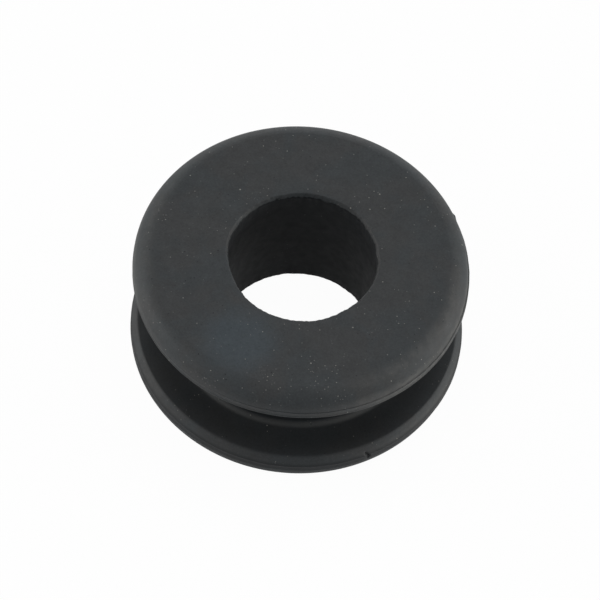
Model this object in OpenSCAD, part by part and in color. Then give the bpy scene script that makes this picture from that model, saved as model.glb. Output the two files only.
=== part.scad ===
// Rubber grommet, moulded in one piece: two flanges with a panel groove between them.
// It stands on its lower flange. The origin is the centre of the bore at the lower face.
// The upper flange is the mirror image of the lower one.

/* [Flanges] */
// Outside diameter of both flanges, measured over the land
overall_d = 18; // [16:0.5:24]
// Height of a flange at its rim, from its outer face to the groove
flange_h = 2.1; // [1.9:0.1:4]
// How far the edge of the flat face lies inside the rim
shoulder_in = 0.9; // [0.4:0.05:1.2]
// Height of the mould's parting line above the outer face
parting_h = 1.3; // [1:0.05:1.6]
// Height of the upright land between the parting line and the bevel
land_h = 0.3; // [0.1:0.05:0.45]
// How far the land stands out past the rounded shoulder at the parting line
parting_step = 0.06; // [0.02:0.01:0.15]
// How far the bevel above the land leans in at the mouth of the groove
bevel_in = 0.25; // [0.05:0.05:0.6]
// Radius on the edge between the bevel and the groove face
rim_edge_r = 0.12; // [0.05:0.01:0.2]

/* [Panel groove] */
// Width of the groove at its mouth
groove_w = 4; // [2:0.25:8]
// Diameter of the neck at the bottom of the groove
neck_d = 14; // [12:0.5:15]
// Draft of each groove face, which thickens the flange towards the neck
groove_draft = 9; // [0:1:15]
// Radius between the neck and each groove face
root_fillet_r = 0.45; // [0.1:0.05:0.7]

/* [Bore] */
// Diameter of the bore
bore_d = 8; // [4:0.5:10]
// Radius on both mouths of the bore
bore_edge_r = 0.2; // [0.05:0.05:0.6]

/* [Moulding marks] */
// Direction of the lump of flash on the upper rim, from +X
nib_angle = 28; // [0:1:359]
// Length of the lump along the rim
nib_l = 0.6; // [0.3:0.1:1.5]
// Height of the lump along the axis
nib_t = 0.2; // [0.1:0.05:0.25]
// How far the lump stands proud of the land
nib_proud = 0.08; // [0.03:0.01:0.15]
// Direction of the nick in the lower rim, from +X
nick_angle = 299; // [0:1:359]
// Width of the nick
nick_w = 0.14; // [0.05:0.01:0.4]
// Depth of the nick below the land
nick_depth = 0.2; // [0.05:0.05:0.5]
// Height of the nick's lower end above the lower face
nick_low = 0.7; // [0.3:0.05:1.2]
// Lean of the nick from upright
nick_lean = 10; // [-30:1:30]

/* [Hidden] */
$fn = 180;
rim_r = overall_d / 2;
neck_r = neck_d / 2;
bore_r = bore_d / 2;
overall_h = 2 * flange_h + groove_w;
// The shoulder is an arc that leaves the parting line upright and ends on the flat face.
shoulder_max_r = rim_r - parting_step;
shoulder_run = shoulder_in - parting_step;
shoulder_r = (shoulder_run ^ 2 + parting_h ^ 2) / (2 * shoulder_run);
shoulder_centre = [shoulder_max_r - shoulder_r, parting_h];
// Corners of the lower flange's upper half, in the plane of the section
land_low = [rim_r, parting_h];
land_high = [rim_r, parting_h + land_h];
groove_mouth = [rim_r - bevel_in, flange_h];
groove_root = [neck_r, flange_h + (groove_mouth.x - neck_r) * tan(groove_draft)];
groove_middle = [neck_r, overall_h / 2];
// Corner of the lower face and the bore, with a point on each of the two
bore_mouth = [bore_r, 0];
bore_middle = [bore_r, overall_h / 2];
flat_middle = [neck_r, 0];
// The lump is part of a disc whose edge passes through both of its ends.
nib_disc_r = (nib_l ^ 2 / 4 + nib_proud ^ 2) / (2 * nib_proud);
nib_low = overall_h - parting_h - (land_h + nib_t) / 2;
cut_margin = 1;
// Share by which a corner's fill or cut reaches past its faces
face_lap = 1.4;
// Share by which an arc crosses its faces, instead of only touching them
arc_lap = 1.002;

// The corner of a section that lies outside an arc of radius r, for rounding or filling it.
// It laps past both faces, so that no film is left between them and the corner.
module corner_sliver(before, corner, after, r) {
    to_before = (before - corner) / norm(before - corner);
    to_after = (after - corner) / norm(after - corner);
    half_angle = acos(to_before * to_after) / 2;
    reach = r / tan(half_angle);
    bisector = (to_before + to_after) / norm(to_before + to_after);
    centre = corner + bisector * r / sin(half_angle);
    kite = [corner, corner + to_before * reach, centre, corner + to_after * reach];
    difference() {
        polygon([for (p = kite) centre + (p - centre) * face_lap]);
        translate(centre) circle(r = r * arc_lap);
    }
}

// Rounded shoulder below the parting line, down to the flat face
module shoulder_section() {
    square([shoulder_centre.x, parting_h]);
    intersection() {
        translate(shoulder_centre) circle(r = shoulder_r);
        square([rim_r, parting_h]);
    }
}

// Land, bevel and drafted groove face above the parting line
module rim_section() {
    difference() {
        polygon([[0, parting_h], land_low, land_high, groove_mouth, groove_root, [0, groove_root.y]]);
        corner_sliver(land_high, groove_mouth, groove_root, rim_edge_r);
    }
}

// Section of the lower flange, from the axis outwards, with the fillet at its root
module flange_section() {
    shoulder_section();
    rim_section();
    corner_sliver(groove_middle, groove_root, groove_mouth, root_fillet_r);
}

// Material that the rounded mouth takes from the lower end of the bore
module bore_mouth_section() {
    corner_sliver(bore_middle, bore_mouth, flat_middle, bore_edge_r);
}

// A shape at the lower end and its mirror image at the upper end
module at_both_ends() {
    children();
    translate([0, overall_h]) mirror([0, 1]) children();
}

// Section of the whole grommet on one side of the axis
module grommet_section() {
    difference() {
        union() {
            square([neck_r, overall_h]);
            at_both_ends() flange_section();
        }
        translate([0, -cut_margin]) square([bore_r, overall_h + 2 * cut_margin]);
        at_both_ends() bore_mouth_section();
    }
}

// Lump of flash that the mould left on the land of the upper flange
module flash_nib() {
    rotate([0, 0, nib_angle])
        translate([rim_r + nib_proud - nib_disc_r, 0, nib_low])
            cylinder(r = nib_disc_r, h = nib_t);
}

// Nick across the land and shoulder of the lower flange
module rim_nick() {
    rotate([0, 0, nick_angle])
        translate([rim_r - nick_depth, 0, nick_low])
            rotate([nick_lean, 0, 0])
                translate([0, -nick_w / 2, 0])
                    cube([nick_depth + cut_margin, nick_w, flange_h - nick_low]);
}

module grommet() {
    color("#2b2d2e")
        difference() {
            union() {
                rotate_extrude() grommet_section();
                flash_nib();
            }
            rim_nick();
        }
}

grommet();
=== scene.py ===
"""Rubber grommet, moulded in one piece: a bored ring with a panel groove round its middle.

The bore's axis is Z and the lower face stands on the floor at 0. Directions round the axis
are measured from +X towards +Y, and the studio camera looks from -Y.
"""

import math

import bmesh
import bpy
from bpy.props import FloatProperty, FloatVectorProperty, PointerProperty
from mathutils import Matrix, Vector, noise


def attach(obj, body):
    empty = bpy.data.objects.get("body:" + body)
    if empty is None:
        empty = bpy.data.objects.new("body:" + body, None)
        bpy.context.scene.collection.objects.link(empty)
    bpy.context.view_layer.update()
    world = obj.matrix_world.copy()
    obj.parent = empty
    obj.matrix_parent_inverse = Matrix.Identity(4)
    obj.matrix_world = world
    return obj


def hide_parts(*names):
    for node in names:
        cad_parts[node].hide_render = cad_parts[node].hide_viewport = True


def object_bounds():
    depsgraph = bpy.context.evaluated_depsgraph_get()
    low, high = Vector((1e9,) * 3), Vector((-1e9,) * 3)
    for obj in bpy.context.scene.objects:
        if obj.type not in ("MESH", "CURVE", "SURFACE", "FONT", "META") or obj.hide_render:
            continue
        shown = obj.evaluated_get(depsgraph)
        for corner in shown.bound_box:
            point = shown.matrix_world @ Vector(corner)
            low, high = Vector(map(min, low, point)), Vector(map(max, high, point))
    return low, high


bl_info = {
    "name": "Rubber Grommet",
    "version": (1, 0, 0),
    "blender": (4, 5, 0),
    "location": "View3D > Sidebar > Grommet",
    "description": "Builds a moulded rubber grommet and the plain stage it stands on",
    "category": "Add Mesh",
}

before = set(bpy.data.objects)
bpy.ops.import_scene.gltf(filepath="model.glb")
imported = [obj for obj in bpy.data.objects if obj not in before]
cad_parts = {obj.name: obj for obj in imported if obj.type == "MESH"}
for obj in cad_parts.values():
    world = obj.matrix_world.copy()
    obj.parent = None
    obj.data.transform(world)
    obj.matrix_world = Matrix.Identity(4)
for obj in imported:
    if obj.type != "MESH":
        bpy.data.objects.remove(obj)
CAD_LOW, CAD_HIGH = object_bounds()
MM = 0.001


def linear_rgb(hex_colour):
    """Linear red, green and blue of an sRGB colour written as #rrggbb."""
    shares = [int(hex_colour[i : i + 2], 16) / 255 for i in (1, 3, 5)]
    return tuple(s / 12.92 if s <= 0.04045 else ((s + 0.055) / 1.055) ** 2.4 for s in shares)


def rgba(colour):
    """A colour property with the alpha that a node's colour socket takes."""
    return (*colour, 1.0)


def smooth_share(value, low, high):
    """0 below low, 1 above high, and a smooth rise between them."""
    t = min(max((value - low) / (high - low), 0.0), 1.0)
    return t * t * (3 - 2 * t)


# ---------------------------------------------------------------------------
# Sizes, marks, colours and stage settings
# ---------------------------------------------------------------------------


class GrommetSizes(bpy.types.PropertyGroup):
    """Sizes of the moulding"""

    overall_d: FloatProperty(
        name="Overall diameter", description="Outside diameter over the land of both rims",
        default=CAD_HIGH.x - CAD_LOW.x, unit="LENGTH", precision=4)
    overall_h: FloatProperty(
        name="Overall height", description="Height from the lower face to the upper face",
        default=CAD_HIGH.z - CAD_LOW.z, unit="LENGTH", precision=4)
    flange_h: FloatProperty(
        name="Flange height", description="Height of a flange at its rim, up to the groove",
        default=2.11 * MM, unit="LENGTH", precision=4)
    bore_d: FloatProperty(
        name="Bore", description="Diameter of the bore at its upper end",
        default=8 * MM, unit="LENGTH", precision=4)
    bore_taper: FloatProperty(
        name="Bore taper", description="How much wider the bore is at its lower end",
        default=0.32 * MM, unit="LENGTH", precision=5)
    mouth_in: FloatProperty(
        name="Mouth width", description="How far the cone at each mouth of the bore widens it",
        default=0.14 * MM, unit="LENGTH", precision=5)
    mouth_deep: FloatProperty(
        name="Mouth depth", description="How deep the cone at each mouth of the bore is",
        default=0.28 * MM, unit="LENGTH", precision=5)
    neck_d: FloatProperty(
        name="Neck diameter", description="Diameter at the bottom of the groove",
        default=13.7 * MM, unit="LENGTH", precision=4)
    root_fillet_r: FloatProperty(
        name="Root radius", description="Radius between the neck and a groove face",
        default=0.24 * MM, unit="LENGTH", precision=5)
    groove_draft: FloatProperty(
        name="Groove draft", description="Slope of each groove face",
        default=math.radians(9), subtype="ANGLE")
    shoulder_in: FloatProperty(
        name="Shoulder width", description="How far the edge of the flat face lies inside the rim",
        default=1.02 * MM, unit="LENGTH", precision=5)
    parting_h: FloatProperty(
        name="Parting height", description="From the outer face to the mould's parting line",
        default=1.15 * MM, unit="LENGTH", precision=5)
    parting_step: FloatProperty(
        name="Parting step", description="How far the land stands out past the shoulder",
        default=0.035 * MM, unit="LENGTH", precision=5)
    land_h: FloatProperty(
        name="Land height", description="Height of the upright land round the rim",
        default=0.4 * MM, unit="LENGTH", precision=5)
    land_bead: FloatProperty(
        name="Land bead", description="How far the beads on both edges of the land stand out",
        default=0.022 * MM, unit="LENGTH", precision=5)
    bevel_in: FloatProperty(
        name="Bevel", description="How far the bevel above the land leans in",
        default=0.37 * MM, unit="LENGTH", precision=5)
    turn_step: FloatProperty(
        name="Turn step", description="Angle between two sections round the axis",
        default=math.radians(0.72), subtype="ANGLE")


class GrommetMarks(bpy.types.PropertyGroup):
    """What the mould and handling left on the rubber"""

    plate_shift: FloatProperty(
        name="Plate shift", description="How far the outer mould plates sit off the middle ones",
        default=0.04 * MM, unit="LENGTH", precision=5)
    pin_lean: FloatProperty(
        name="Pin lean", description="How far off the axis the lower end of the bore lies",
        default=0.08 * MM, unit="LENGTH", precision=5)
    pin_lean_angle: FloatProperty(
        name="Pin lean direction", description="Direction in which the bore's lower end lies off",
        default=math.radians(315), subtype="ANGLE")
    front_flash: FloatProperty(
        name="Front flash", description="Extra reach of the flash at the front of the upper mouth",
        default=0.18 * MM, unit="LENGTH", precision=5)
    mouth_flash: FloatProperty(
        name="Mouth flash", description="Height of the torn flash round both mouths of the bore",
        default=0.05 * MM, unit="LENGTH", precision=5)
    rim_unevenness: FloatProperty(
        name="Rim unevenness", description="How far the edges of the land wander",
        default=0.012 * MM, unit="LENGTH", precision=5)
    nib_angle: FloatProperty(
        name="Nib direction", description="Direction of the lump of flash on the upper rim",
        default=math.radians(28), subtype="ANGLE")
    nib_proud: FloatProperty(
        name="Nib height", description="How far the lump stands proud of the land",
        default=0.06 * MM, unit="LENGTH", precision=5)
    nick_angle: FloatProperty(
        name="Nick direction", description="Direction of the nick in the lower rim",
        default=math.radians(299.2), subtype="ANGLE")
    nick_depth: FloatProperty(
        name="Nick depth", description="Depth of the nick below the land",
        default=0.16 * MM, unit="LENGTH", precision=5)


class GrommetColours(bpy.types.PropertyGroup):
    """Colours of the rubber and the stage"""

    rubber_warm: FloatVectorProperty(
        name="Warm rubber", description="Rubber where the surface film leans to purple",
        default=linear_rgb("#353637"), size=3, min=0, max=1, subtype="COLOR")
    rubber_cool: FloatVectorProperty(
        name="Cool rubber", description="Rubber where the surface film leans to green",
        default=linear_rgb("#333638"), size=3, min=0, max=1, subtype="COLOR")
    # Painted shade: the dark of the bore, the neck, the groove faces, the lower land and the pits
    painted_shade: FloatVectorProperty(
        name="Smooth wall", description="Bare rubber against the polished pin and groove rings",
        default=linear_rgb("#191b1d"), size=3, min=0, max=1, subtype="COLOR")
    # Painted highlight: the sheen on the rims and the light line at the lower groove's root
    painted_highlight: FloatVectorProperty(
        name="Rubbed edges", description="Rubber greyed by handling on the outer edges",
        default=linear_rgb("#565655"), size=3, min=0, max=1, subtype="COLOR")
    bloom: FloatVectorProperty(
        name="Bloom", description="Blue-grey film of wax that has come to the surface",
        default=linear_rgb("#3b4247"), size=3, min=0, max=1, subtype="COLOR")
    dust: FloatVectorProperty(
        name="Dust", description="Pale specks of release powder",
        default=linear_rgb("#b3b2aa"), size=3, min=0, max=1, subtype="COLOR")
    floor: FloatVectorProperty(
        name="Floor", description="Matt white paper under the grommet",
        default=linear_rgb("#f4f4f4"), size=3, min=0, max=1, subtype="COLOR")


class GrommetStage(bpy.types.PropertyGroup):
    """Camera of the studio view, and how white its paper and walls look"""

    elevation: FloatProperty(
        name="Camera elevation", description="Angle of the line of sight below level",
        default=math.radians(57.648), subtype="ANGLE")
    roll: FloatProperty(
        name="Camera roll", description="Turn of the camera about its line of sight",
        default=math.radians(4.907), subtype="ANGLE")
    distance: FloatProperty(
        name="Camera distance", description="From the camera to the middle of the grommet",
        default=268.7 * MM, unit="LENGTH", precision=4)
    lens: FloatProperty(
        name="Lens", description="Focal length on a 36 mm wide frame",
        default=299.7, unit="CAMERA")
    aim_right: FloatProperty(
        name="Aim right", description="How far the line of sight passes right of the middle",
        default=0.0674 * MM, unit="LENGTH", precision=6)
    aim_up: FloatProperty(
        name="Aim up", description="How far the line of sight passes above the middle",
        default=-0.0627 * MM, unit="LENGTH", precision=6)
    backdrop_level: FloatProperty(
        name="Backdrop level", description="How much light the room's walls give",
        default=0.01, min=0)
    paper_white: FloatProperty(
        name="Paper white", description="Share of the paper's look that is plain white",
        default=0.97, min=0, max=1)
    white_in_gloss: FloatProperty(
        name="White in gloss", description="Share of plain white that the rubber's gloss picks up",
        default=0.5, min=0, max=1)


# ---------------------------------------------------------------------------
# The moulding
# ---------------------------------------------------------------------------


def section_corners(s):
    """Corners of the section's lower half, from the bore round to the neck.

    Each is its distance from the axis, its height, the radius that rounds it and the
    segments of that round. A radius of 0 leaves the corner as it is.
    """
    rim = s.overall_d / 2
    land = rim - s.land_bead
    mouth = rim - s.bevel_in
    neck = s.neck_d / 2
    shoulder = rim - s.parting_step
    run = s.shoulder_in - s.parting_step
    # The shoulder's arc leaves the parting line upright. Its end tangents meet at low, and
    # the corner there is rounded almost as wide, which leaves the flat face its edge.
    arc_r = (run**2 + s.parting_h**2) / (2 * run)
    low = run * math.tan(math.acos(s.parting_h / arc_r))
    middle = s.overall_h / 2
    return [
        (s.bore_d / 2, middle, 0, 0),
        (s.bore_d / 2, s.mouth_deep, 0.12 * MM, 3),
        (s.bore_d / 2 + s.mouth_in, 0, 0.05 * MM, 3),
        (rim - s.shoulder_in, 0, 0.16 * MM, 3),
        (shoulder, low, 0.97 * arc_r, 11),
        (shoulder, s.parting_h, 0.015 * MM, 2),
        (rim, s.parting_h, 0.009 * MM, 2),
        (land, s.parting_h + 0.06 * MM, 0.015 * MM, 2),
        (land, s.parting_h + s.land_h - 0.11 * MM, 0.015 * MM, 2),
        (rim, s.parting_h + s.land_h - 0.06 * MM, 0.015 * MM, 2),
        (rim, s.parting_h + s.land_h, 0.04 * MM, 3),
        (mouth, s.flange_h, 0.12 * MM, 3),
        (neck, s.flange_h + (mouth - neck) * math.tan(s.groove_draft), s.root_fillet_r, 5),
        (neck, middle, 0, 0),
    ]


def longest_segment(s, from_axis, height):
    """Longest edge allowed in the section there: short where the mould left marks."""
    near_mouth = from_axis < s.bore_d / 2 + 0.6 * MM and height < 0.6 * MM
    near_land = from_axis > s.overall_d / 2 - 0.4 * MM and height > 0.8 * MM
    if near_mouth:
        return 0.07 * MM
    return 0.09 * MM if near_land else 0.55 * MM


def draw_section(bm, s):
    """Draws the whole section of the wall as a chain of edges in the XZ plane."""
    middle = s.overall_h / 2
    rounds = []
    last = None
    for from_axis, height, radius, segments in section_corners(s):
        vert = bm.verts.new((from_axis, 0, height - middle))
        if last is not None:
            bm.edges.new((last, vert))
        last = vert
        if radius:
            rounds.append((vert, radius, segments))
    for corner, radius, segments in rounds:
        before, after = [edge.other_vert(corner).co - corner.co for edge in corner.link_edges]
        reach = radius / math.tan(before.angle(after) / 2)
        bmesh.ops.bevel(
            bm, geom=[corner], offset=reach, offset_type="OFFSET", segments=segments,
            profile=0.5, affect="VERTICES", material=-1)
    cuts = {}
    for edge in bm.edges:
        at = (edge.verts[0].co + edge.verts[1].co) / 2
        count = math.ceil(edge.calc_length() / longest_segment(s, at.x, at.z + middle)) - 1
        if count > 0:
            cuts.setdefault(count, []).append(edge)
    for count, edges in cuts.items():
        bmesh.ops.subdivide_edges(bm, edges=edges, cuts=count)
    # The upper half is the mirror image of the lower one about mid height, which is at 0 here
    bmesh.ops.mirror(bm, geom=bm.verts[:] + bm.edges[:], axis="Z", merge_dist=1e-7)
    bmesh.ops.translate(bm, vec=(0, 0, middle), verts=bm.verts)


def turn_sectors(s, marks):
    """Sectors of the turn: where each starts, its angle and its steps, fine at nib and nick."""
    nib, nick = marks.nib_angle, marks.nick_angle
    half_nib, half_nick = math.radians(3), math.radians(2.4)
    arcs = [
        (0.0, nib - half_nib, s.turn_step, 1),
        (nib - half_nib, nib + half_nib, math.radians(0.25), 1),
        (nib + half_nib, nick - half_nick, s.turn_step, 12),
        (nick - half_nick, nick + half_nick, math.radians(0.12), 1),
        (nick + half_nick, math.tau, s.turn_step, 3),
    ]
    sectors = []
    for start, end, step, parts in arcs:
        angle = (end - start) / parts
        sectors += [(start + i * angle, angle, math.ceil(angle / step)) for i in range(parts)]
    return sectors


def turn_section(bm, s, marks):
    """Turns the section about the axis, a sector at a time, and closes the ring."""
    sector_mesh = bpy.data.meshes.new("sector")
    for start, angle, steps in turn_sectors(s, marks):
        sector = bmesh.new()
        draw_section(sector, s)
        bmesh.ops.rotate(sector, matrix=Matrix.Rotation(start, 3, "Z"), verts=sector.verts)
        bmesh.ops.spin(
            sector, geom=sector.verts[:] + sector.edges[:], cent=(0, 0, 0), axis=(0, 0, 1),
            dvec=(0, 0, 0), angle=angle, steps=steps, use_merge=False, use_duplicate=False)
        sector.to_mesh(sector_mesh)
        sector.free()
        bm.from_mesh(sector_mesh)
    bpy.data.meshes.remove(sector_mesh)
    bmesh.ops.remove_doubles(bm, verts=bm.verts, dist=1e-7)


def lumps(angle, height, spacing, radius, seed):
    """Noise from -1 to 1 on a ring of that radius, with lumps the given spacing apart."""
    return noise.noise(Vector((
        math.cos(angle) * radius / spacing, math.sin(angle) * radius / spacing,
        height / spacing + seed)))


def angle_between(a, b):
    """Signed angle from b to a, from half a turn back to half a turn on."""
    return (a - b + math.pi) % math.tau - math.pi


def flash_height(s, marks, angle, upper):
    """How far the torn flash at a mouth of the bore reaches in, at that direction."""
    bore = s.bore_d / 2
    seed = 3.1 if upper else 17.7
    wide = lumps(angle, 0, 1.6 * MM, bore, seed)
    fine = lumps(angle, 0, 0.45 * MM, bore, seed + 5)
    crumbly = lumps(angle, 0, 0.2 * MM, bore, seed + 9)
    torn = 0.35 + 0.8 * wide + 0.55 * fine + 0.35 * crumbly
    if not upper:
        return marks.mouth_flash * torn
    # A tab is left at the front right of the upper mouth, and the flash is widest in front
    tab_angle, tab_width = math.radians(303), math.radians(13)
    torn += 0.5 * math.exp(-((angle_between(angle, tab_angle) / tab_width) ** 2))
    front = smooth_share(-math.sin(angle + math.radians(12)), -0.1, 0.6)
    return marks.mouth_flash * torn + marks.front_flash * front


def flash_shift(s, marks, from_axis, angle, from_face, upper):
    """How far inwards and towards mid height the torn flash at a mouth moves a point."""
    bore = s.bore_d / 2
    near_mouth = smooth_share(from_axis, bore + 0.5 * MM, bore + 0.02 * MM)
    share = near_mouth * smooth_share(from_face, 0.75 * MM, 0.1 * MM)
    if share == 0:
        return 0.0, 0.0
    crumb = 0.5 * lumps(angle, from_face, 0.16 * MM, from_axis, 31)
    inwards = (flash_height(s, marks, angle, upper) + crumb * marks.mouth_flash) * share
    at_edge = smooth_share(from_axis, bore + 0.35 * MM, bore + 0.1 * MM)
    at_edge *= smooth_share(from_face, 0.3 * MM, 0.05 * MM)
    sink = 0.35 * abs(lumps(angle, 0, 0.5 * MM, bore, 41 if upper else 47))
    return inwards, sink * marks.mouth_flash * at_edge


def land_shift(s, marks, from_axis, angle, from_face, upper):
    """How far inwards and towards mid height the worn parting line moves a point."""
    rim = s.overall_d / 2
    on_land = s.parting_h - 0.25 * MM < from_face < s.flange_h - 0.05 * MM
    if not on_land or from_axis <= rim - 0.3 * MM:
        return 0.0, 0.0
    seed = 61 if upper else 67
    wander = lumps(angle, 0, 0.9 * MM, rim, seed)
    wander += 0.6 * lumps(angle, 0, 0.3 * MM, rim, seed + 3)
    lift = lumps(angle, 0, 0.7 * MM, rim, seed + 6)
    lift += 0.6 * lumps(angle, 0, 0.25 * MM, rim, seed + 9)
    reach = marks.rim_unevenness * smooth_share(from_axis, rim - 0.12 * MM, rim - 0.03 * MM)
    return reach * (0.8 + 0.8 * wander), reach * lift


def leave_marks(bm, s, marks):
    """Moves the vertices to where the mould's fit, its flash and handling left the rubber."""
    rim, bore, height = s.overall_d / 2, s.bore_d / 2, s.overall_h
    hair = 0.001 * MM
    lean_angle = marks.pin_lean_angle
    lean = marks.pin_lean * Vector((math.cos(lean_angle), math.sin(lean_angle), 0))
    for vert in bm.verts:
        x, y, z = vert.co
        from_axis, angle = math.hypot(x, y), math.atan2(y, x)
        upper = z > height / 2
        from_face = height - z if upper else z
        outwards = Vector((math.cos(angle), math.sin(angle), 0))
        to_middle = Vector((0, 0, -1 if upper else 1))
        move = Vector((0, 0, 0))

        # The plates that form the shoulders sit a little off those that form the groove
        below_parting = from_face < s.parting_h - hair
        on_shoulder = from_face < s.parting_h + hair and from_axis < rim - s.parting_step / 2
        if below_parting or on_shoulder:
            near_rim = smooth_share(from_axis, rim - 3 * MM, rim - 0.4 * MM)
            move.x -= marks.plate_shift * near_rim

        # The pin that forms the bore tapers, and pulls the lower mouth wider on its way out
        near_bore = smooth_share(from_axis, bore + 0.9 * MM, bore + 0.3 * MM)
        move += (outwards * s.bore_taper / 2 + lean) * (1 - z / height) * near_bore

        # Torn flash round the mouths of the bore, and the land's edges where they are worn
        for shift in (flash_shift, land_shift):
            inwards, sink = shift(s, marks, from_axis, angle, from_face, upper)
            move += to_middle * sink - outwards * inwards

        vert.co += move
        # Nothing but the lump of flash stands out past the rim
        past_rim = max(1.0, math.hypot(vert.co.x, vert.co.y) / rim)
        vert.co.x /= past_rim
        vert.co.y /= past_rim

    raise_nib(bm, s, marks)
    cut_nick(bm, s, marks)


def raise_nib(bm, s, marks):
    """Lump of flash on the upper rim, along the parting line."""
    rim = s.overall_d / 2
    level = s.overall_h - s.parting_h - 0.1 * MM
    half_length, half_height, ripple_length = 0.34 * MM, 0.2 * MM, 0.08 * MM
    for vert in bm.verts:
        x, y, z = vert.co
        along = angle_between(math.atan2(y, x), marks.nib_angle) * rim
        if abs(along) > half_length or math.hypot(x, y) < rim - 0.25 * MM:
            continue
        share = 1 - (along / half_length) ** 2
        up = max(0.0, 1 - ((z - level) / half_height) ** 2)
        ripple = 0.75 + 0.25 * math.cos(along / ripple_length)
        # The land's edge lies a little inside the rim, so the lump is that much higher
        outwards = Vector((x, y, 0)).normalized()
        vert.co += outwards * (marks.nib_proud + 0.03 * MM) * share * up * ripple


def cut_nick(bm, s, marks):
    """Nick across the land of the lower rim and the foot of its bevel, bent like a shallow S."""
    rim = s.overall_d / 2
    bottom, top = s.parting_h - 0.03 * MM, s.flange_h - 0.43 * MM
    half_width, sway = 0.085 * MM, 0.09 * MM
    for vert in bm.verts:
        x, y, z = vert.co
        along = angle_between(math.atan2(y, x), marks.nick_angle) * rim
        if abs(along) > 0.4 * MM or math.hypot(x, y) < rim - 0.6 * MM:
            continue
        if not bottom < z < top + 0.15 * MM:
            continue
        t = (z - bottom) / (top - bottom)
        line = sway * math.sin((t - 0.1) * math.tau * 0.8)
        depth = math.exp(-(((along - line) / half_width) ** 2))
        ends = smooth_share(t, 0.0, 0.3) * smooth_share(t, 1.12, 0.9)
        inwards = -Vector((x, y, 0)).normalized()
        vert.co += inwards * marks.nick_depth * depth * ends


def build_moulding(s, marks):
    """The whole grommet as one closed mesh."""
    bm = bmesh.new()
    turn_section(bm, s, marks)
    leave_marks(bm, s, marks)
    bmesh.ops.recalc_face_normals(bm, faces=bm.faces)
    for face in bm.faces:
        face.smooth = True
    mesh = bpy.data.meshes.new("rubber_moulding")
    bm.to_mesh(mesh)
    bm.free()
    moulding = bpy.data.objects.new("rubber_moulding", mesh)
    bpy.context.scene.collection.objects.link(moulding)
    return moulding


# ---------------------------------------------------------------------------
# Materials
# ---------------------------------------------------------------------------


def add_node(tree, kind, values=None, links=None, **settings):
    """Adds a node, sets its own settings and its sockets' values, and links its inputs."""
    node = tree.nodes.new(kind)
    for name, value in settings.items():
        setattr(node, name, value)
    for socket, value in (values or {}).items():
        node.inputs[socket].default_value = value
    for socket, source in (links or {}).items():
        tree.links.new(source, node.inputs[socket])
    return node


# Dust and scuffs that can be told apart: direction from +X in degrees, distance from the
# axis, height and reach in mm, and how much of the dust's colour shows
DUST_MARKS = (
    (128, 4.35, 8.2, 0.4, 1.0), (149, 4.4, 8.2, 0.4, 1.0), (118, 4.65, 8.2, 0.3, 1.0),
    (74, 4.3, 8.2, 0.3, 1.0), (62, 4.25, 8.2, 0.3, 1.0), (55, 4.3, 8.2, 0.4, 1.0),
    (33, 4.25, 8.15, 0.35, 1.0), (85, 4.4, 8.2, 1.1, 0.6), (126, 6.4, 8.2, 0.7, 0.8),
    (147, 6.95, 8.2, 0.9, 0.8), (165, 7.9, 8.1, 1.6, 0.6), (130, 4.95, 8.2, 0.6, 0.7),
    (41, 6.8, 8.2, 0.7, 0.7), (25, 7.85, 8.1, 1.2, 0.8), (350, 8.0, 8.1, 1.4, 0.5),
    (243, 5.25, 8.2, 0.25, 1.0), (245, 7.9, 8.2, 0.5, 1.0), (285, 7.4, 8.2, 2.4, 1.0),
    (262, 7.8, 8.1, 1.8, 1.0), (229, 8.88, 7.5, 1.0, 0.9), (240, 8.9, 7.45, 1.0, 0.8),
    (266, 8.87, 7.55, 0.7, 0.9), (320, 8.4, 7.9, 1.6, 0.5), (205, 8.6, 7.8, 1.6, 0.5),
    (227, 7.5, 2.3, 0.35, 1.0), (226, 7.1, 2.35, 0.3, 1.0), (310, 8.84, 1.84, 0.14, 1.0),
)

# Where the painted sheen on the rims is strongest: middle and reach in mm, and how light it gets
SHEEN_SPOTS = (((7.4, -4.8, 6.5), 8.2, 1.0), ((-8.9, 1.0, 6.5), 6.0, 0.7))

# Middle and reach of the patch of bloom on the upper face
BLOOM_MIDDLE = (-2.9 * MM, -5.5 * MM, 8.2 * MM)
BLOOM_REACH = 2.25 * MM


def distance_from_axis(tree, place):
    """Distance of the shaded point from the bore's axis."""
    level = add_node(
        tree, "ShaderNodeVectorMath", {1: (1, 1, 0)}, {0: place}, operation="MULTIPLY")
    return add_node(
        tree, "ShaderNodeVectorMath", None, {0: level.outputs[0]},
        operation="LENGTH").outputs["Value"]


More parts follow.
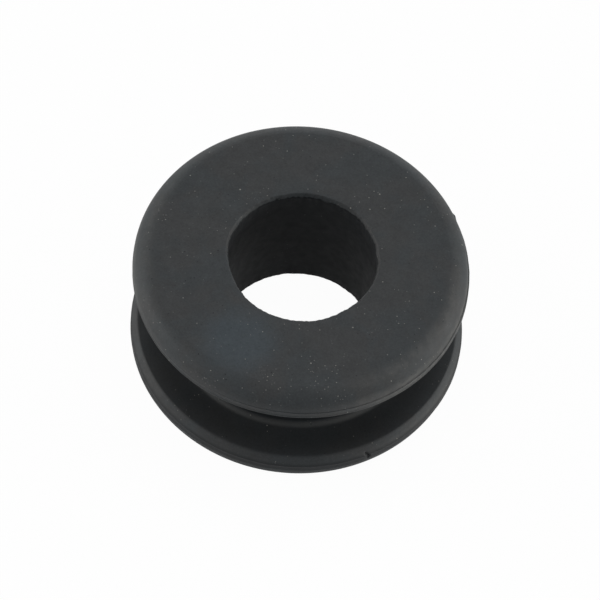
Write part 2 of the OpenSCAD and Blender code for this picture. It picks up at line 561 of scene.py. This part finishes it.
def clouded_skin(tree, place, colours):
    """Colour of the matt skin: warm and cool clouds, darker mottling and a patch of bloom."""
    clouds = add_node(
        tree, "ShaderNodeTexNoise",
        {"Scale": 1 / (2.6 * MM), "Detail": 4, "Roughness": 0.6, "Distortion": 0.4},
        {"Vector": place})
    lean = add_node(
        tree, "ShaderNodeMapRange", {"From Min": 0.4, "From Max": 0.6},
        {"Value": clouds.outputs["Fac"]}, interpolation_type="SMOOTHSTEP")
    hue = add_node(
        tree, "ShaderNodeMix",
        {6: rgba(colours.rubber_warm), 7: rgba(colours.rubber_cool)}, {0: lean.outputs["Result"]},
        data_type="RGBA")

    # Bloom comes up in one patch, and its edge breaks up into the mottling
    away = add_node(
        tree, "ShaderNodeVectorMath", {1: BLOOM_MIDDLE}, {0: place}, operation="DISTANCE")
    ragged = add_node(
        tree, "ShaderNodeTexNoise", {"Scale": 1 / (0.9 * MM), "Detail": 3, "Roughness": 0.65},
        {"Vector": place})
    ragged_away = add_node(
        tree, "ShaderNodeMath", {1: 1.6 * MM},
        {0: ragged.outputs["Fac"], 2: away.outputs["Value"]}, operation="MULTIPLY_ADD")
    patch = add_node(
        tree, "ShaderNodeMapRange",
        {"From Min": BLOOM_REACH + 1.3 * MM, "From Max": BLOOM_REACH - 0.6 * MM, "To Max": 0.85},
        {"Value": ragged_away.outputs[0]}, interpolation_type="SMOOTHSTEP")
    bloomed = add_node(
        tree, "ShaderNodeMix", {7: rgba(colours.bloom)},
        {0: patch.outputs["Result"], 6: hue.outputs[2]}, data_type="RGBA")

    # Mottling under a millimetre wide, and the blasted grain drawn as coarse as it shows
    mottle = add_node(
        tree, "ShaderNodeMapRange",
        {"From Min": 0.25, "From Max": 0.75, "To Min": 0.89, "To Max": 1.11},
        {"Value": ragged.outputs["Fac"]})
    grain = add_node(
        tree, "ShaderNodeTexNoise", {"Scale": 1 / (0.11 * MM), "Detail": 2, "Roughness": 0.7},
        {"Vector": place})
    speckle = add_node(
        tree, "ShaderNodeMapRange",
        {"From Min": 0.25, "From Max": 0.75, "To Min": 0.84, "To Max": 1.16},
        {"Value": grain.outputs["Fac"]})
    value = add_node(
        tree, "ShaderNodeMath", None, {0: mottle.outputs["Result"], 1: speckle.outputs["Result"]},
        operation="MULTIPLY")
    skin = add_node(
        tree, "ShaderNodeHueSaturation", None,
        {"Color": bloomed.outputs[2], "Value": value.outputs[0]})
    return skin.outputs["Color"]


def speck_layer(tree, place, spacing, radius, bare):
    """Mask of small specks that lie in drifts. Bare is the share of the cells left empty."""
    cells = add_node(tree, "ShaderNodeTexVoronoi", {"Scale": 1 / spacing}, {"Vector": place})
    drifts = add_node(
        tree, "ShaderNodeTexNoise", {"Scale": 1 / (1.8 * MM), "Detail": 3}, {"Vector": place})
    fewest = add_node(
        tree, "ShaderNodeMapRange",
        {"From Min": 0.35, "From Max": 0.65, "To Min": bare + 0.2, "To Max": bare - 0.25},
        {"Value": drifts.outputs["Fac"]})
    draw = add_node(tree, "ShaderNodeSeparateColor", None, {"Color": cells.outputs["Color"]})
    kept = add_node(
        tree, "ShaderNodeMath", None, {0: draw.outputs["Red"], 1: fewest.outputs["Result"]},
        operation="GREATER_THAN")
    spot = add_node(
        tree, "ShaderNodeMapRange",
        {"From Min": radius / spacing, "From Max": 0.4 * radius / spacing},
        {"Value": cells.outputs["Distance"]}, interpolation_type="SMOOTHSTEP")
    # Few specks are bright and most are faint
    strength = add_node(
        tree, "ShaderNodeMath", {1: 2.2}, {0: draw.outputs["Green"]}, operation="POWER")
    shown = add_node(
        tree, "ShaderNodeMath", None, {0: spot.outputs["Result"], 1: kept.outputs[0]},
        operation="MULTIPLY")
    return add_node(
        tree, "ShaderNodeMath", None, {0: shown.outputs[0], 1: strength.outputs[0]},
        operation="MULTIPLY").outputs[0]


def marked_dust(tree, place):
    """Mask of the dust marks, where the specks lie much closer."""
    specks = speck_layer(tree, place, spacing=0.14 * MM, radius=0.038 * MM, bare=0.62)
    covered = None
    for direction, from_axis, height, reach, strength in DUST_MARKS:
        a = math.radians(direction)
        middle = Vector((from_axis * math.cos(a), from_axis * math.sin(a), height)) * MM
        away = add_node(
            tree, "ShaderNodeVectorMath", {1: middle}, {0: place}, operation="DISTANCE")
        spot = add_node(
            tree, "ShaderNodeMapRange",
            {"From Min": reach * MM, "From Max": 0.2 * reach * MM, "To Max": strength},
            {"Value": away.outputs["Value"]}, interpolation_type="SMOOTHSTEP")
        covered = spot.outputs["Result"] if covered is None else add_node(
            tree, "ShaderNodeMath", None, {0: covered, 1: spot.outputs["Result"]},
            operation="MAXIMUM").outputs[0]
    return add_node(
        tree, "ShaderNodeMath", None, {0: covered, 1: specks}, operation="MULTIPLY").outputs[0]


def height_off_middle(tree, height, sizes):
    """Distance of the shaded point from mid height, the same on both flanges."""
    above = add_node(
        tree, "ShaderNodeMath", {1: sizes.overall_h / 2}, {0: height}, operation="SUBTRACT")
    return add_node(
        tree, "ShaderNodeMath", None, {0: above.outputs[0]}, operation="ABSOLUTE").outputs[0]


def walls_with_painted_shade(tree, from_axis, off_middle, streaks, sizes):
    """Mask of the walls darkened with painted shade: the bore, the neck and the groove faces."""
    middle, neck, bore = sizes.overall_h / 2, sizes.neck_d / 2, sizes.bore_d / 2
    groove_mouth = middle - sizes.flange_h
    near_axis = add_node(
        tree, "ShaderNodeMapRange", {"From Min": bore + 0.7 * MM, "From Max": bore + 0.5 * MM},
        {"Value": from_axis}).outputs["Result"]
    # The painted shade in the bore starts on a ragged line below the mouth
    ragged = add_node(
        tree, "ShaderNodeMath", {1: 0.45 * MM}, {0: streaks, 2: off_middle},
        operation="MULTIPLY_ADD").outputs[0]
    below_mouth = add_node(
        tree, "ShaderNodeMapRange",
        {"From Min": middle + 0.07 * MM, "From Max": middle - 0.06 * MM},
        {"Value": ragged}, interpolation_type="SMOOTHSTEP").outputs["Result"]
    in_bore = add_node(
        tree, "ShaderNodeMath", None, {0: near_axis, 1: below_mouth}, operation="MULTIPLY")
    on_face = add_node(
        tree, "ShaderNodeMapRange",
        {"From Min": groove_mouth + 0.16 * MM, "From Max": groove_mouth - 0.04 * MM,
         "To Max": 0.52},
        {"Value": off_middle}, interpolation_type="SMOOTHSTEP").outputs["Result"]
    near_neck = add_node(
        tree, "ShaderNodeMapRange", {"From Min": neck + 0.12 * MM, "From Max": neck + 0.03 * MM},
        {"Value": from_axis}, interpolation_type="SMOOTHSTEP").outputs["Result"]
    above_root = add_node(
        tree, "ShaderNodeMapRange",
        {"From Min": groove_mouth - 0.5 * MM, "From Max": groove_mouth - 0.75 * MM},
        {"Value": off_middle}, interpolation_type="SMOOTHSTEP").outputs["Result"]
    on_neck = add_node(
        tree, "ShaderNodeMath", None, {0: near_neck, 1: above_root}, operation="MULTIPLY")
    in_groove = add_node(
        tree, "ShaderNodeMath", None, {0: on_face, 1: on_neck.outputs[0]}, operation="MAXIMUM")
    return add_node(
        tree, "ShaderNodeMath", None, {0: in_bore.outputs[0], 1: in_groove.outputs[0]},
        operation="MAXIMUM").outputs[0]


def land_painted_shade(tree, height, from_axis, sizes):
    """Mask of painted shade on the lower rim's land, near the floor, up to the foot of the bevel.
    """
    level, rim = sizes.parting_h + 0.7 * sizes.land_h, sizes.overall_d / 2
    off_level = add_node(tree, "ShaderNodeMath", {1: level}, {0: height}, operation="SUBTRACT")
    near_level = add_node(
        tree, "ShaderNodeMath", None, {0: off_level.outputs[0]}, operation="ABSOLUTE")
    band = add_node(
        tree, "ShaderNodeMapRange",
        {"From Min": 0.33 * MM, "From Max": 0.12 * MM, "To Max": 0.65},
        {"Value": near_level.outputs[0]}, interpolation_type="SMOOTHSTEP")
    outer = add_node(
        tree, "ShaderNodeMapRange", {"From Min": rim - 0.3 * MM, "From Max": rim - 0.15 * MM},
        {"Value": from_axis})
    return add_node(
        tree, "ShaderNodeMath", None, {0: band.outputs["Result"], 1: outer.outputs["Result"]},
        operation="MULTIPLY").outputs[0]


def rim_painted_sheen(tree, place, from_axis, off_middle, streaks, sizes):
    """Mask of the painted sheen on the rims, strongest on the right front and on the left."""
    rim = sizes.overall_d / 2
    # The painted sheen starts near the shoulder's edge, thins past its middle and is thickest on
    # the rim: start and end of each change, in mm inside the rim, and how much it adds
    edge = None
    for start, end, change in ((1.3, 0.7, 0.5), (0.7, 0.3, -0.4), (0.25, 0.05, 0.8)):
        band = add_node(
            tree, "ShaderNodeMapRange",
            {"From Min": rim - start * MM, "From Max": rim - end * MM, "To Max": change},
            {"Value": from_axis}, interpolation_type="SMOOTHSTEP").outputs["Result"]
        edge = band if edge is None else add_node(
            tree, "ShaderNodeMath", None, {0: edge, 1: band}, operation="ADD").outputs[0]
    groove_mouth = sizes.overall_h / 2 - sizes.flange_h
    outside = add_node(
        tree, "ShaderNodeMapRange",
        {"From Min": groove_mouth, "From Max": groove_mouth + 0.25 * MM},
        {"Value": off_middle}, interpolation_type="SMOOTHSTEP").outputs["Result"]
    side_sheen = None
    for middle, reach, most in SHEEN_SPOTS:
        away = add_node(
            tree, "ShaderNodeVectorMath", {1: Vector(middle) * MM}, {0: place},
            operation="DISTANCE")
        spot = add_node(
            tree, "ShaderNodeMapRange",
            {"From Min": reach * MM, "From Max": 0.35 * reach * MM, "To Min": 0.08,
             "To Max": most},
            {"Value": away.outputs["Value"]}, interpolation_type="SMOOTHSTEP").outputs["Result"]
        side_sheen = spot if side_sheen is None else add_node(
            tree, "ShaderNodeMath", None, {0: side_sheen, 1: spot}, operation="MAXIMUM").outputs[0]
    broken = add_node(
        tree, "ShaderNodeMapRange", {"From Min": 0.4, "From Max": 0.66, "To Min": 0.45},
        {"Value": streaks}, interpolation_type="SMOOTHSTEP").outputs["Result"]
    share = edge
    for mask in (outside, side_sheen, broken):
        share = add_node(
            tree, "ShaderNodeMath", None, {0: share, 1: mask}, operation="MULTIPLY").outputs[0]
    return share


def root_painted_highlight(tree, height, from_axis, sizes):
    """Mask of a painted highlight along the round at the root of the lower groove face."""
    off_neck = add_node(
        tree, "ShaderNodeMath", {1: sizes.neck_d / 2}, {0: from_axis}, operation="SUBTRACT")
    near_neck = add_node(
        tree, "ShaderNodeMath", None, {0: off_neck.outputs[0]}, operation="ABSOLUTE")
    in_root = add_node(
        tree, "ShaderNodeMapRange", {"From Min": 0.28 * MM, "From Max": 0.1 * MM},
        {"Value": near_neck.outputs[0]}, interpolation_type="SMOOTHSTEP")
    low = add_node(
        tree, "ShaderNodeMapRange",
        {"From Min": sizes.flange_h + 0.62 * MM, "From Max": sizes.flange_h + 0.42 * MM,
         "To Max": 0.26},
        {"Value": height}, interpolation_type="SMOOTHSTEP")
    return add_node(
        tree, "ShaderNodeMath", None, {0: in_root.outputs["Result"], 1: low.outputs["Result"]},
        operation="MULTIPLY").outputs[0]


def moulded_nitrile(colours, sizes):
    """Nitrile rubber filled with carbon black, compression moulded in a blasted steel mould.

    The blasted plates leave a fine matt skin, so light spreads wide over it and only gathers
    at a glancing view. The bore, the neck and the groove faces have less gloss and grain, and
    are darkened with painted shade, as is the lower land. The skin clouds where wax blooms,
    bears a painted sheen on its rims and a painted highlight at the lower groove's root, and
    holds pale specks of dust.
    """
    material = bpy.data.materials.new("compression_moulded_nitrile_rubber")
    material.use_nodes = True
    tree = material.node_tree
    tree.nodes.clear()
    place = add_node(tree, "ShaderNodeTexCoord").outputs["Object"]
    from_axis = distance_from_axis(tree, place)
    height = add_node(tree, "ShaderNodeSeparateXYZ", None, {"Vector": place}).outputs["Z"]
    off_middle = height_off_middle(tree, height, sizes)
    streaks = add_node(
        tree, "ShaderNodeTexNoise", {"Scale": 1 / (0.5 * MM), "Detail": 4, "Roughness": 0.7},
        {"Vector": place}).outputs["Fac"]

    walls = walls_with_painted_shade(tree, from_axis, off_middle, streaks, sizes)
    pits = speck_layer(tree, place, spacing=0.26 * MM, radius=0.05 * MM, bare=0.62)
    # What lies over the skin, from the bottom up: painted sheen on the rims, painted shade on
    # the lower land and the walls, a painted highlight at the groove's root, and last the pits,
    # whose dark is painted shade.
    layers = (
        (rim_painted_sheen(tree, place, from_axis, off_middle, streaks, sizes), colours.painted_highlight),
        (land_painted_shade(tree, height, from_axis, sizes), colours.painted_shade),
        (walls, colours.painted_shade),
        (root_painted_highlight(tree, height, from_axis, sizes), colours.painted_highlight),
        (pits, colours.painted_shade),
    )
    colour = clouded_skin(tree, place, colours)
    for mask, layer_colour in layers:
        colour = add_node(
            tree, "ShaderNodeMix", {7: rgba(layer_colour)}, {0: mask, 6: colour},
            data_type="RGBA").outputs[2]

    # Release powder and lint look pale: fine dust, a few crumbs and the marked dust
    fine_dust = speck_layer(tree, place, spacing=0.21 * MM, radius=0.036 * MM, bare=0.7)
    crumbs = speck_layer(tree, place, spacing=0.5 * MM, radius=0.055 * MM, bare=0.66)
    dust = add_node(tree, "ShaderNodeMath", None, {0: fine_dust, 1: crumbs}, operation="MAXIMUM")
    dust = add_node(
        tree, "ShaderNodeMath", None, {0: dust.outputs[0], 1: marked_dust(tree, place)},
        operation="MAXIMUM")
    # Dust settles on the matt skin, and little of it on the walls
    matt_share = add_node(
        tree, "ShaderNodeMapRange", {"To Min": 0.52, "To Max": 0.1}, {"Value": walls})
    cover = add_node(
        tree, "ShaderNodeMath", None, {0: dust.outputs[0], 1: matt_share.outputs["Result"]},
        operation="MULTIPLY")
    colour = add_node(
        tree, "ShaderNodeMix", {7: rgba(colours.dust)}, {0: cover.outputs[0], 6: colour},
        data_type="RGBA").outputs[2]

    # Orange peel of the rubber's flow, and the grain of the blasted mould on top of it
    peel = add_node(
        tree, "ShaderNodeTexNoise", {"Scale": 1 / (0.45 * MM), "Detail": 2}, {"Vector": place})
    blasted = add_node(
        tree, "ShaderNodeTexNoise", {"Scale": 1 / (0.13 * MM), "Detail": 2, "Roughness": 0.6},
        {"Vector": place})
    relief = add_node(
        tree, "ShaderNodeMath", {1: 2.2}, {0: peel.outputs["Fac"], 2: blasted.outputs["Fac"]},
        operation="MULTIPLY_ADD")
    grain_depth = add_node(
        tree, "ShaderNodeMapRange", {"To Min": 1.0, "To Max": 0.2}, {"Value": walls})
    bump = add_node(
        tree, "ShaderNodeBump", {"Distance": 0.006 * MM},
        {"Strength": grain_depth.outputs["Result"], "Height": relief.outputs[0]})
    gloss = add_node(
        tree, "ShaderNodeMapRange", {"To Min": 0.2, "To Max": 0.115}, {"Value": walls})
    roughness = add_node(
        tree, "ShaderNodeMapRange",
        {"From Min": 0.3, "From Max": 0.7, "To Min": 0.54, "To Max": 0.66},
        {"Value": streaks})

    shader = add_node(
        tree, "ShaderNodeBsdfPrincipled", {"IOR": 1.5},
        {"Base Color": colour, "Roughness": roughness.outputs["Result"],
         "Specular IOR Level": gloss.outputs["Result"], "Normal": bump.outputs["Normal"]})
    add_node(tree, "ShaderNodeOutputMaterial", None, {"Surface": shader.outputs["BSDF"]})
    return material


def white_share(tree, in_view, in_gloss):
    """How far a backdrop shows as plain white: in view and through glass, and in gloss."""
    path = add_node(tree, "ShaderNodeLightPath").outputs
    seen = add_node(
        tree, "ShaderNodeMath", None, {0: path["Is Camera Ray"], 1: path["Is Transmission Ray"]},
        operation="MAXIMUM")
    seen_share = add_node(
        tree, "ShaderNodeMath", {1: in_view}, {0: seen.outputs[0]}, operation="MULTIPLY")
    gloss_share = add_node(
        tree, "ShaderNodeMath", {1: in_gloss}, {0: path["Is Glossy Ray"]}, operation="MULTIPLY")
    return add_node(
        tree, "ShaderNodeMath", None, {0: seen_share.outputs[0], 1: gloss_share.outputs[0]},
        operation="MAXIMUM").outputs[0]


def matt_paper(colours, stage):
    """Matt white paper that is lit evenly enough to look pure white.

    The camera and glossy surfaces see it as white, with only part of the shadow on it.
    """
    material = bpy.data.materials.new("matt_white_paper")
    material.use_nodes = True
    tree = material.node_tree
    tree.nodes.clear()
    paper = add_node(
        tree, "ShaderNodeBsdfDiffuse", {"Color": rgba(colours.floor), "Roughness": 0.0})
    white = add_node(tree, "ShaderNodeEmission", {"Color": (1, 1, 1, 1), "Strength": 1.0})
    share = white_share(tree, in_view=stage.paper_white, in_gloss=stage.white_in_gloss)
    both = add_node(
        tree, "ShaderNodeMixShader", None,
        {0: share, 1: paper.outputs["BSDF"], 2: white.outputs["Emission"]})
    add_node(tree, "ShaderNodeOutputMaterial", None, {"Surface": both.outputs["Shader"]})
    return material


# ---------------------------------------------------------------------------
# Stage
# ---------------------------------------------------------------------------


def view_axes(stage):
    """Line of sight, and the camera's right and up."""
    e, c, k = stage.elevation, math.cos(stage.roll), math.sin(stage.roll)
    sight = Vector((0, math.cos(e), -math.sin(e)))
    level_right, level_up = Vector((1, 0, 0)), Vector((0, math.sin(e), math.cos(e)))
    return sight, level_right * c + level_up * k, level_up * c - level_right * k


def place_camera(stage, s):
    """Camera of the studio view, aimed at the middle of the grommet."""
    sight, right, up = view_axes(stage)
    middle = Vector((0, 0, s.overall_h / 2))
    data = bpy.data.cameras.new("studio_camera")
    data.sensor_width = 36
    data.lens = stage.lens
    data.clip_start = 0.01
    data.clip_end = 20
    camera = bpy.data.objects.new("studio_camera", data)
    where = middle - sight * stage.distance + right * stage.aim_right + up * stage.aim_up
    turn = Matrix((right, up, -sight)).transposed().to_4x4()
    camera.matrix_world = Matrix.Translation(where) @ turn
    bpy.context.scene.collection.objects.link(camera)
    bpy.context.scene.camera = camera


# Soft boxes: name, azimuth, elevation, width, height, power and colour. The one overhead
# lights the upper face evenly, and the low ones at both sides draw the bright shoulders.
LAMP_DISTANCE = 0.6
COOL_WHITE = (0.97, 0.99, 1.0)
WARM_WHITE = (1.0, 0.985, 0.95)
SOFT_BOXES = (
    ("top_box", 90, 80, 0.5, 0.5, 1.6, COOL_WHITE),
    ("back_right_box", 50, 55, 0.35, 0.35, 0.3, COOL_WHITE),
    ("low_back_box", 90, 8, 0.8, 0.12, 1.4, COOL_WHITE),
    ("low_left_box", 175, 8, 0.4, 0.12, 2.0, WARM_WHITE),
    ("low_right_box", 0, 8, 0.4, 0.12, 3.0, WARM_WHITE),
    ("left_box", 180, 30, 0.4, 0.3, 0.5, WARM_WHITE),
    ("front_left_box", 225, 25, 0.3, 0.3, 0.44, COOL_WHITE),
    ("front_box", 270, 30, 0.4, 0.3, 0.33, COOL_WHITE),
)


def light_room(scene, stage):
    """Walls that look white, and give the grommet no more light than their level."""
    world = bpy.data.worlds.new("studio_room")
    world.use_nodes = True
    tree = world.node_tree
    tree.nodes.clear()
    share = white_share(tree, in_view=1.0, in_gloss=stage.white_in_gloss)
    strength = add_node(
        tree, "ShaderNodeMath", {1: stage.backdrop_level}, {0: share}, operation="MAXIMUM")
    walls = add_node(
        tree, "ShaderNodeBackground", {"Color": (1, 1, 1, 1)}, {"Strength": strength.outputs[0]})
    add_node(tree, "ShaderNodeOutputWorld", None, {"Surface": walls.outputs["Background"]})
    scene.world = world


def hang_lamp(name, azimuth, elevation, width, height, power, colour):
    """A soft box that faces the grommet, from that direction seen from the grommet."""
    data = bpy.data.lights.new(name, "AREA")
    data.shape = "RECTANGLE"
    data.size, data.size_y = width, height
    data.energy = power
    data.color = colour
    lamp = bpy.data.objects.new(name, data)
    a, e = math.radians(azimuth), math.radians(elevation)
    towards = Vector((math.cos(e) * math.cos(a), math.cos(e) * math.sin(a), math.sin(e)))
    lamp.location = towards * LAMP_DISTANCE
    lamp.rotation_euler = (-towards).to_track_quat("-Z", "Y").to_euler()
    bpy.context.scene.collection.objects.link(lamp)


# ---------------------------------------------------------------------------
# Operators and panel
# ---------------------------------------------------------------------------


class GROMMET_OT_build_moulding(bpy.types.Operator):
    """Build the rubber grommet with its moulding marks and its finish"""

    bl_idname = "grommet.build_moulding"
    bl_label = "Build moulding"

    def execute(self, context):
        scene = context.scene
        moulding = build_moulding(scene.grommet_sizes, scene.grommet_marks)
        moulding.data.materials.append(moulded_nitrile(scene.grommet_colours, scene.grommet_sizes))
        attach(moulding, "root")
        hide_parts("grommet")
        return {"FINISHED"}


class GROMMET_OT_set_stage(bpy.types.Operator):
    """Lay the floor and set the walls, the lamps and the camera"""

    bl_idname = "grommet.set_stage"
    bl_label = "Set stage"

    def execute(self, context):
        scene = context.scene
        stage, sizes = scene.grommet_stage, scene.grommet_sizes
        bm = bmesh.new()
        bmesh.ops.create_grid(bm, x_segments=1, y_segments=1, size=1.5)
        # A hair below the rubber, so that two faces never share a plane
        bmesh.ops.translate(bm, vec=(0, 0, -0.01 * MM), verts=bm.verts)
        mesh = bpy.data.meshes.new("paper_floor")
        bm.to_mesh(mesh)
        bm.free()
        floor = bpy.data.objects.new("paper_floor", mesh)
        scene.collection.objects.link(floor)
        floor.data.materials.append(matt_paper(scene.grommet_colours, stage))

        light_room(scene, stage)
        for soft_box in SOFT_BOXES:
            hang_lamp(*soft_box)
        place_camera(stage, sizes)
        scene.view_settings.view_transform = "Standard"
        return {"FINISHED"}


class GROMMET_PT_panel(bpy.types.Panel):
    """Builds the grommet and its stage from the 3D view's sidebar"""

    bl_idname = "GROMMET_PT_panel"
    bl_label = "Rubber Grommet"
    bl_space_type = "VIEW_3D"
    bl_region_type = "UI"
    bl_category = "Grommet"

    def draw(self, context):
        layout = self.layout
        for name in ("grommet_sizes", "grommet_marks", "grommet_colours", "grommet_stage"):
            group = getattr(context.scene, name)
            box = layout.box()
            for prop in group.__annotations__:
                box.prop(group, prop)
        layout.operator(GROMMET_OT_build_moulding.bl_idname)
        layout.operator(GROMMET_OT_set_stage.bl_idname)


GROUPS = {
    "grommet_sizes": GrommetSizes,
    "grommet_marks": GrommetMarks,
    "grommet_colours": GrommetColours,
    "grommet_stage": GrommetStage,
}
CLASSES = (*GROUPS.values(), GROMMET_OT_build_moulding, GROMMET_OT_set_stage, GROMMET_PT_panel)


def register():
    for cls in CLASSES:
        bpy.utils.register_class(cls)
    for name, group in GROUPS.items():
        setattr(bpy.types.Scene, name, PointerProperty(type=group))


def unregister():
    for name in GROUPS:
        delattr(bpy.types.Scene, name)
    for cls in reversed(CLASSES):
        bpy.utils.unregister_class(cls)


def main():
    """Registers the add-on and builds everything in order."""
    register()
    bpy.ops.grommet.build_moulding()
    bpy.ops.grommet.set_stage()


if __name__ == "__main__":
    main()
